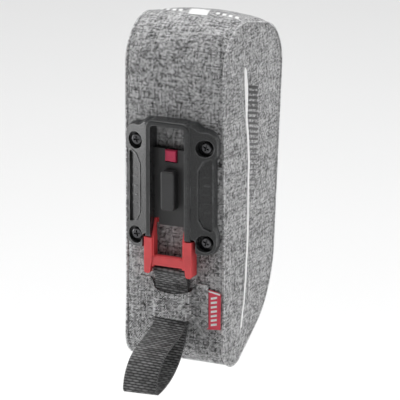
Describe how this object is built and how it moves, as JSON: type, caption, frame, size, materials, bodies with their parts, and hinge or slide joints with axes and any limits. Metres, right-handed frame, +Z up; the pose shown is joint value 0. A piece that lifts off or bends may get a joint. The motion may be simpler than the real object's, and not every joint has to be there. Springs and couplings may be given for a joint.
{
  "type": "saddle bag",
  "caption": "Slim upright saddle bag with a quick-release adapter plate, pull-strap release, fabric keeper and a zipped rear lid.",
  "frame": {"origin": "middle of the adapter channel, on the channel's floor", "axes": "+Z up, -Y out of the adapter plate towards the saddle's adapter, +X the bag's right side panel"},
  "size_m": [0.0714, 0.1382, 0.2405],
  "materials": {
    "bag_fabric": "heather grey laminated weave",
    "seam_fabric": "welded seam edge",
    "board": "stiffener sheet",
    "plate_plastic": "satin moulded, black",
    "housing_plastic": "moulded, black",
    "release_red": "satin moulded, red",
    "catch_red": "satin moulded, red",
    "screw_steel": "black zinc",
    "spring_steel": "bright",
    "webbing": "ribbed woven webbing",
    "thread": "sewing thread",
    "thread_black": "sewing thread",
    "tag_red": "woven label",
    "reflective": "reflective film",
    "print_grey": "printed bars",
    "zip_tape": "laminated zip tape",
    "zip_coil": "nylon coil",
    "zip_metal": "dark enamel",
    "grip_plastic": "moulded grip"
  },
  "bodies": {
    "bag": {"bag_band": "bag_fabric", "side_panel_right": "bag_fabric", "side_panel_left": "bag_fabric", "seam_bead_right": "seam_fabric", "seam_bead_left": "seam_fabric", "front_board": "board", "tee_nuts": "spring_steel", "adapter_plate": "plate_plastic", "latch_housing": "housing_plastic", "plate_screws": "screw_steel", "slider_springs": "spring_steel", "keeper_band": "bag_fabric", "keeper_stitching": "thread", "side_tag": "tag_red", "stripe_right": "reflective", "stripe_left": "reflective", "fade_bars_right": "print_grey", "fade_bars_left": "print_grey", "top_reflector": "reflective", "lid_hinge_strip": "bag_fabric", "zip_tape_bag": "zip_tape", "zip_coil_bag": "zip_coil", "zip_stops": "zip_metal"},
    "release": {"release_slider": "release_red", "strap_pin": "spring_steel", "strap_run": "webbing", "strap_loop": "webbing", "strap_bartack": "thread_black"},
    "catch_body": {"catch": "catch_red", "catch_leaf_spring": "spring_steel"},
    "lid": {"lid_panel": "bag_fabric", "lid_board": "board", "zip_tape_lid": "zip_tape", "zip_coil_lid": "zip_coil"},
    "zip_runner": {"zip_slider": "zip_metal", "puller_pin": "zip_metal"},
    "puller": {"zip_puller": "zip_metal", "puller_grip": "grip_plastic"}
  },
  "joints": [
    {"name": "release_slide", "type": "slide", "parent": "bag", "child": "release", "axis": [0, 0, -1], "range_m": [0, 0.007], "stiffness_N_per_m": 400, "springref_m": -0.008, "deforming": ["slider_springs"]},
    {"name": "catch_slide", "type": "slide", "parent": "bag", "child": "catch_body", "axis": [0, 1, 0], "range_m": [0, 0.00175]},
    {"name": "lid_hinge", "type": "hinge", "parent": "bag", "child": "lid", "pos_m": [0, 0.08517, -0.03752], "axis": [-1, 0, 0], "range_deg": [0, 95]},
    {"name": "zip_slide", "type": "slide", "parent": "bag", "child": "zip_runner", "axis": [0, 0.0929, 0.9957], "range_m": [0, 0.085]},
    {"name": "puller_swing", "type": "hinge", "parent": "zip_runner", "child": "puller", "pos_m": [0.024, 0.08765, -0.04327], "axis": [1, 0, 0], "range_deg": [0, 85]}
  ],
  "couplings": [
    {"joint": "catch_slide", "follows": "release_slide", "ratio": 0.25}
  ]
}
